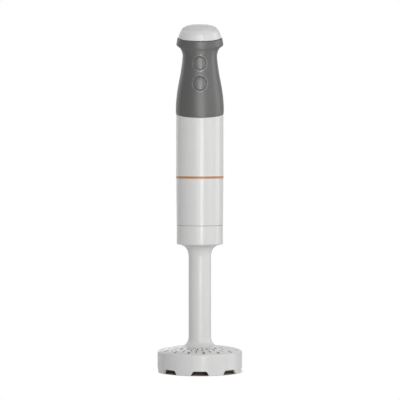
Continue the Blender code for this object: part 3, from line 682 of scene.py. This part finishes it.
def grip_half_mesh(name, middle, fine):
    """Half of the grip's shell round a middle angle, as a closed solid. fine adds detail by the buttons."""
    last, reach = math.radians(89.9), math.radians(89.2)
    angles = spaced(-reach, reach, 0.04)
    if fine:
        stops = [-reach, -BUTTON_ZONE_ANGLE, BUTTON_ZONE_ANGLE, reach]
        angles = spaced_through(stops, [0.045, 0.0135, 0.045])
    section = grip_section(fine)
    rings = []
    for angle in [-last, *angles, last]:
        groove = PARTING_GROOVE if abs(angle) == last else 0.0
        rings.append([grip_point(height, middle + angle, inset + groove) for height, inset in section])
    return rings_mesh(name, rings)


def button_ring(name, beyond, depth):
    """Points beyond a button's edge and behind the grip by distances that can be functions of the angle."""
    centre, half_width, half_height = BUTTONS[name]
    ring = []
    for i in range(BUTTON_STEPS):
        angle = 2 * math.pi * i / BUTTON_STEPS
        out = beyond(angle) if callable(beyond) else beyond
        back = depth(angle) if callable(depth) else depth
        x = (half_width + out) * math.cos(angle)
        z = centre + (half_height + out) * math.sin(angle)
        ring.append((x, grip_front_at(x, z) + back, z))
    return ring


def button_hole(name):
    """A straight hole through the grip that the bezel's seat fits."""
    reach = BUTTON_CLEARANCE + BEZEL_SEAT + 0.1
    outside, inside = -3.0, 7.0
    return rings_mesh("button_hole", [button_ring(name, reach, depth) for depth in (outside, inside)])


def bezel_edge(share):
    """How far beyond the button's edge a share of the bezel's width lies. It is widest at the bottom."""
    return lambda angle: BUTTON_CLEARANCE + share * (BEZEL_WIDTH - BEZEL_UNEVEN * math.sin(angle))


def bezel(name):
    """A low glossy ring round a button, seated in the grip's hole."""
    steps, sunk, lip = 16, 0.03, 0.3
    rings = [button_ring(name, BUTTON_CLEARANCE, BEZEL_DEPTH)]
    for i in range(steps + 1):
        share = 0.5 - 0.5 * math.cos(math.pi * i / steps)
        raised = BEZEL_HEIGHT * math.sin(math.pi * share) ** 0.3
        rings.append(button_ring(name, bezel_edge(share), sunk - raised))
    rings.append(button_ring(name, bezel_edge(1.0), lip))
    rings.append(button_ring(name, BUTTON_CLEARANCE + BEZEL_SEAT, lip))
    rings.append(button_ring(name, BUTTON_CLEARANCE + BEZEL_SEAT, BEZEL_DEPTH))
    mesh = rings_mesh("bezel", rings, closed=True)
    piece(f"fine_{name}_bezel", mesh, BEZEL_GREY, "grey_soft_touch", "handle")


def button(name):
    """A domed push button that faces slightly up, with a flange behind the wall and a stem."""
    centre, half_width, half_height = BUTTONS[name]
    dome_steps, corner_steps, fullness = 24, 4, 0.9

    def dome(share):
        crown = BUTTON_CROWN * math.sqrt(1 - fullness * share**2)
        rise = math.tan(BUTTON_TILT) * half_height * share
        return lambda angle: BUTTON_SUNK - crown + rise * math.sin(angle)

    edge = 1 - BUTTON_CORNER / half_width
    rim = dome(edge)
    rings = [[(0.0, grip_front_at(0.0, centre) + BUTTON_SUNK - BUTTON_CROWN, centre)]]
    for i in range(1, dome_steps + 1):
        share = edge * math.sin(math.pi / 2 * i / dome_steps)
        rings.append(button_ring(name, (share - 1) * half_width, dome(share)))
    for i in range(1, corner_steps + 1):
        turn = math.pi / 2 * i / corner_steps
        beyond = BUTTON_CORNER * (math.sin(turn) - 1)
        fall = BUTTON_CORNER * (1 - math.cos(turn))
        rings.append(button_ring(name, beyond, lambda angle: rim(angle) + fall))
    stem = STEM_RADIUS - half_width
    back = [
        (0.0, FLANGE_FRONT), (FLANGE_WIDTH, FLANGE_FRONT), (FLANGE_WIDTH, FLANGE_BACK), (stem, FLANGE_BACK),
        (stem, STEM_END),
    ]
    for beyond, y in back:
        rings.append([(x, y, z) for x, _, z in button_ring(name, beyond, 0.0)])
    mesh = rings_mesh(name, rings)
    piece(f"fine_{name}_button", mesh, BUTTON_GREY, "grey_soft_touch", f"{name}_key", f"{name}_button")


def gland_place():
    """A placing matrix with +Z out through the back of the grip, at right angles to the dial's axis."""
    return at(z=GLAND_HEIGHT, tilt=DIAL_TILT - math.pi / 2)


def screw_recess(height, outside):
    """A cutter for a screw's hole and the wider recess of its head, in the back of the grip."""
    hole, head, seat, end = 1.8, 3.4, outside - 1.2, 35.0
    outline = [(0, 10.0), (hole, 10.0), (hole, seat), (head, seat), (head, end), (0, end)]
    recess = turned_mesh("recess", outline, 48, False)
    recess.transform(at(z=height, tilt=-math.pi / 2))
    return recess


def grip():
    """The grip's front half with the buttons' holes, and its rear half with the gland's boss and recesses."""
    front = grip_half_mesh("grip_front", 0.0, True)
    front = combined(front, "DIFFERENCE", *[button_hole(name) for name in BUTTONS])
    piece("fine_grip_front", front, GREY, "grey_soft_touch", "handle", "grip_front")

    rear = grip_half_mesh("grip_rear", math.pi, False)
    outline = rounded([(6.0, 31.5, 0.6), (0.5, 31.5, 0), (0.5, 25.0, 0), (6.0, 25.0, 0)])
    boss = turned_mesh("boss", outline, 64)
    boss.transform(gland_place())
    outline = [(0, 18.0), (5.6, 18.0), (5.6, 23.5), (4.3, 23.5), (4.3, 40.0), (0, 40.0)]
    bore = turned_mesh("bore", outline, 64, False)
    bore.transform(gland_place())
    recesses = [screw_recess(height, outside) for height, outside in SCREW_RECESSES]
    rear = combined(combined(rear, "UNION", boss), "DIFFERENCE", bore, *recesses)
    piece("fine_grip_rear", rear, GREY, "grey_soft_touch", "handle", "grip_rear")


def speed_dial():
    """The domed cap, turned about the normal of its sloping seam."""
    outside = smooth_curve([
        (24.85, 0.6), (24.35, 2.2), (23.65, 4.2), (22.9, 6.1), (22.0, 8.0), (20.9, 9.7), (19.6, 11.1),
        (18.0, 12.2), (15.6, 13.25), (12.0, 14.03), (7.0, 14.58), (0.0, 14.8),
    ])
    inside = [
        (0.0, 10.0), (3.2, 10.0), (3.2, 3.0), (5.2, 3.0), (5.2, 11.6), (15.2, 10.4), (19.2, 7.9),
        (21.6, 3.8), (22.8, 0.5 * GAP), (24.55, 0.5 * GAP),
    ]
    cap = turned_mesh("speed_dial", inside + outside, closed=False)
    cap.transform(at(z=DIAL_SEAM, tilt=DIAL_TILT))
    piece("fine_speed_dial", cap, WHITE, "white_plastic", "dial", "speed_dial")


def cord_gland():
    """The short rubber sleeve that the cord would leave by, with a rim at its end."""
    outline = rounded([
        (5.2, 22.5, 0), (5.2, 23.2, 0), (4.0, 23.2, 0), (4.0, 31.8, 0), (4.9, 31.8, 0.2), (4.9, 32.8, 0.35),
        (3.1, 32.8, 0.3), (3.1, 22.5, 0),
    ])
    sleeve = turned_mesh("cord_gland", outline, 64)
    sleeve.transform(gland_place())
    piece("fine_cord_gland", sleeve, RUBBER, "rubber", "handle", "cord_gland")


# ---------------------------------------------------------------- what stays as packed


def finish_cad_nodes():
    """Every CAD node gets its slot's material. The paddle also gets soft edges."""
    slot_of = {part["node"]: part["material_slot"] for part in frame["record"]["subparts"]}
    for name, obj in frame["nodes"].items():
        obj.data.materials.clear()
        obj.data.materials.append(SLOT_MATERIALS[slot_of[name]])
    edges = frame["nodes"]["masher_paddle"].modifiers.new("Soft edges", "BEVEL")
    edges.width = PADDLE_EDGE * MM
    edges.segments = 2
    edges.limit_method = "ANGLE"
    edges.angle_limit = math.radians(35)


# ---------------------------------------------------------------- floor, light and camera


def fade_between(tree, distance, low, high):
    """A node that goes smoothly from 0 to 1 between two distances in millimetres."""
    fade = tree.nodes.new("ShaderNodeMapRange")
    fade.interpolation_type = "SMOOTHSTEP"
    fade.inputs["From Min"].default_value = low * MM
    fade.inputs["From Max"].default_value = high * MM
    link(tree, distance, "Value", fade, "Value")
    return fade


def product(tree, source, output):
    """A node that multiplies a source by its second input."""
    times = tree.nodes.new("ShaderNodeMath")
    times.operation = "MULTIPLY"
    link(tree, source, output, times, 0)
    return times


def floor_material():
    """Pale and glossy, with painted shade in warm dark brown and less gloss under the foot, and white to the
    camera beyond it.
    """
    made = bpy.data.materials.new("pale_floor")
    made.use_nodes = True
    tree = made.node_tree
    shader = tree.nodes["Principled BSDF"]
    shader.inputs["Roughness"].default_value = FLOOR_ROUGHNESS
    place = tree.nodes.new("ShaderNodeTexCoord")
    distance = tree.nodes.new("ShaderNodeVectorMath")
    distance.operation = "LENGTH"
    link(tree, place, "Object", distance, "Vector")

    # painted shade: the floor turns warm dark brown and less glossy under the foot
    beyond_painted_shade = fade_between(tree, distance, *PAINTED_SHADE_FADE)
    painted_shade_tone = colour_between(tree, beyond_painted_shade, "Result", PAINTED_SHADE_COLOUR, FLOOR_COLOUR)
    link(tree, painted_shade_tone, MIX_COLOUR, shader, "Base Color")
    sheen = product(tree, beyond_painted_shade, "Result")
    sheen.inputs[1].default_value = FLOOR_SPECULAR
    link(tree, sheen, 0, shader, "Specular IOR Level")

    path = tree.nodes.new("ShaderNodeLightPath")
    white = product(tree, path, "Is Camera Ray")
    link(tree, fade_between(tree, distance, *WHITE_FADE), "Result", white, 1)
    glow = tree.nodes.new("ShaderNodeEmission")
    mix = tree.nodes.new("ShaderNodeMixShader")
    link(tree, white, 0, mix, 0)
    link(tree, shader, 0, mix, 1)
    link(tree, glow, 0, mix, 2)
    link(tree, mix, 0, tree.nodes["Material Output"], "Surface")
    return made


def floor():
    """A wide slab just under the foot."""
    mesh = prism_mesh("floor", rectangle(FLOOR_HALF, FLOOR_HALF), -FLOOR_DEPTH, FLOOR_TOP)
    mesh.materials.append(floor_material())
    obj = in_scene("floor", mesh)


def surroundings():
    """A white sky for the camera, and a dimmer one for the light it gives."""
    world = bpy.data.worlds.new("studio")
    bpy.context.scene.world = world
    world.use_nodes = True
    tree = world.node_tree
    tree.nodes.clear()
    path = tree.nodes.new("ShaderNodeLightPath")
    mix = tree.nodes.new("ShaderNodeMixShader")
    output = tree.nodes.new("ShaderNodeOutputWorld")
    for socket, strength in ((1, SKY_LIGHT), (2, 1.0)):
        sky = tree.nodes.new("ShaderNodeBackground")
        sky.inputs["Color"].default_value = (1.0, 1.0, 1.0, 1.0)
        sky.inputs["Strength"].default_value = strength
        link(tree, sky, 0, mix, socket)
    link(tree, path, "Is Camera Ray", mix, 0)
    link(tree, mix, 0, output, 0)


def aim(obj, target):
    """Turn a light or camera to look at a place."""
    towards = Vector(target) - obj.location
    obj.rotation_euler = towards.to_track_quat("-Z", "Y").to_euler()


def softbox(name, azimuth, height, distance, size, power):
    """An area light at an angle from the front (positive to the right), facing the blender's middle."""
    data = bpy.data.lights.new(name, "AREA")
    data.shape = "RECTANGLE"
    data.size, data.size_y = size
    data.energy = power
    obj = in_scene(name, data)
    angle = math.radians(azimuth)
    obj.location = (distance * math.sin(angle), -distance * math.cos(angle), height)
    obj.visible_camera = False
    aim(obj, LIGHTS_AIM)


def lights():
    """Broad boxes in front and at the right, strips by the camera, and weak ones behind and above."""
    for name, values in LIGHTS.items():
        softbox(name, *values)


def camera():
    """A little above the blender's middle and far enough away to look nearly flat."""
    data = bpy.data.cameras.new("camera")
    data.sensor_width = SENSOR_WIDTH
    data.lens = SENSOR_WIDTH / 2 / math.tan(CAMERA_VIEW / 2)
    obj = in_scene("camera", data)
    obj.location = CAMERA_PLACE
    aim(obj, CAMERA_AIM)
    bpy.context.scene.camera = obj


masher_shaft()
masher_foot()
collar_shell()
lower_housing()
trim_ring()
motor_housing()
grip()
for button_name in BUTTONS:
    bezel(button_name)
    button(button_name)
speed_dial()
cord_gland()
finish_cad_nodes()
floor()
surroundings()
lights()
camera()
bpy.context.scene.view_settings.view_transform = "Standard"
